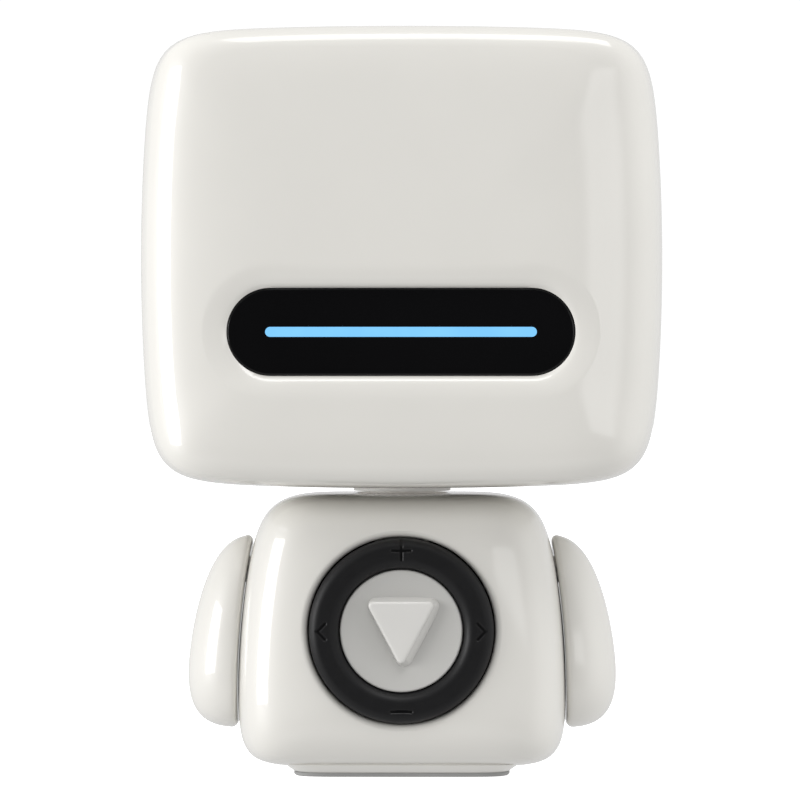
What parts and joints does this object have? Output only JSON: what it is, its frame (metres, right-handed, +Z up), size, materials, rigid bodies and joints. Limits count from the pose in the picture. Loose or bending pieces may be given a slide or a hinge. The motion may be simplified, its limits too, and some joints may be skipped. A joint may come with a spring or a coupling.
{
  "type": "robot shaped desk speaker",
  "caption": "Small robot-shaped desk speaker: rounded head with a light bar, turning neck, swinging arms and a round rocker dial with a play button.",
  "frame": {"origin": "centre of the foot's underside, on the surface it stands on", "axes": "+Z up, front with the light bar and dial towards -Y, +X to the right of someone facing the front"},
  "size_m": [0.07, 0.0476, 0.1],
  "materials": {
    "shell": "high gloss moulded ABS, warm white",
    "neck_plastic": "satin acetal",
    "visor": "polished black acrylic",
    "light_guide": "diffusing light guide, lit pale blue",
    "ring_rubber": "matte black, soft touch",
    "silicone": "moulded silicone and foam",
    "button_plastic": "satin moulded, warm grey white",
    "pad_rubber": "matte",
    "screw_steel": "zinc plated",
    "circuit_board": "green solder mask",
    "switch_black": "moulded",
    "battery_foil": "foil pouch",
    "magnet_steel": "plated",
    "grille_metal": "perforated, satin paint",
    "cone_film": "polypropylene film",
    "coil_copper": "enamelled winding",
    "spider_cloth": "resin treated cloth",
    "lead_insulation": "insulated leads"
  },
  "bodies": {
    "torso": {"torso_front_shell": "shell", "torso_rear_shell": "shell", "torso_screws": "screw_steel", "main_board": "circuit_board", "tact_switches": "switch_black", "board_screws": "screw_steel", "battery": "battery_foil", "battery_tray": "neck_plastic", "charge_board": "circuit_board", "usb_socket": "screw_steel", "ballast_plate": "screw_steel", "foot": "shell", "foot_pad": "pad_rubber", "neck_bush": "neck_plastic", "torso_leads": "lead_insulation"},
    "head": {"head_front_shell": "shell", "head_rear_shell": "shell", "head_screws": "screw_steel", "visor_lens": "visor", "light_bar": "light_guide", "light_board": "circuit_board", "light_leds": "light_guide", "light_board_screws": "screw_steel", "speaker_grille": "grille_metal", "speaker_gasket": "silicone", "speaker_frame": "switch_black", "speaker_screws": "screw_steel", "speaker_magnet": "magnet_steel", "speaker_surround": "silicone", "speaker_spider": "spider_cloth", "neck_spindle": "neck_plastic", "neck_collar": "neck_plastic", "neck_clip": "screw_steel", "spindle_screws": "screw_steel", "light_leads": "lead_insulation", "speaker_leads": "lead_insulation"},
    "cone": {"speaker_cone": "cone_film", "voice_coil": "coil_copper", "dust_cap": "cone_film"},
    "left_arm": {"arm_left": "shell", "shoulder_pin_left": "screw_steel", "shoulder_clip_left": "screw_steel"},
    "right_arm": {"arm_right": "shell", "shoulder_pin_right": "screw_steel", "shoulder_clip_right": "screw_steel"},
    "key_mat": {"key_mat": "silicone"},
    "control_ring": {"control_ring": "ring_rubber"},
    "play_button": {"play_button": "button_plastic"}
  },
  "joints": [
    {"name": "head_turn", "type": "hinge", "parent": "torso", "child": "head", "pos_m": [0, 0, 0.038], "axis": [0, 0, 1], "range_deg": [-90, 90]},
    {"name": "left_arm_swing", "type": "hinge", "parent": "torso", "child": "left_arm", "pos_m": [-0.02107, 0, 0.02725], "axis": [-0.9867, 0, 0.1625], "range_deg": [-90, 90]},
    {"name": "right_arm_swing", "type": "hinge", "parent": "torso", "child": "right_arm", "pos_m": [0.02107, 0, 0.02725], "axis": [-0.9867, 0, -0.1625], "range_deg": [-90, 90]},
    {"name": "ring_rock_up_down", "type": "hinge", "parent": "torso", "child": "key_mat", "pos_m": [0, -0.015, 0.0199], "axis": [1, 0, 0], "range_deg": [-1.5, 1.5], "stiffness_Nm_per_rad": 0.6},
    {"name": "ring_rock_sideways", "type": "hinge", "parent": "key_mat", "child": "control_ring", "pos_m": [0, -0.015, 0.0199], "axis": [0, 0, 1], "range_deg": [-1.5, 1.5], "stiffness_Nm_per_rad": 0.6},
    {"name": "play_button_press", "type": "slide", "parent": "torso", "child": "play_button", "axis": [0, 1, 0], "range_m": [0, 0.0004], "stiffness_N_per_m": 4000},
    {"name": "cone_travel", "type": "slide", "parent": "head", "child": "cone", "axis": [0, 1, 0], "range_m": [-0.0008, 0.0008], "stiffness_N_per_m": 1000, "deforming": ["speaker_surround", "speaker_spider"]}
  ]
}
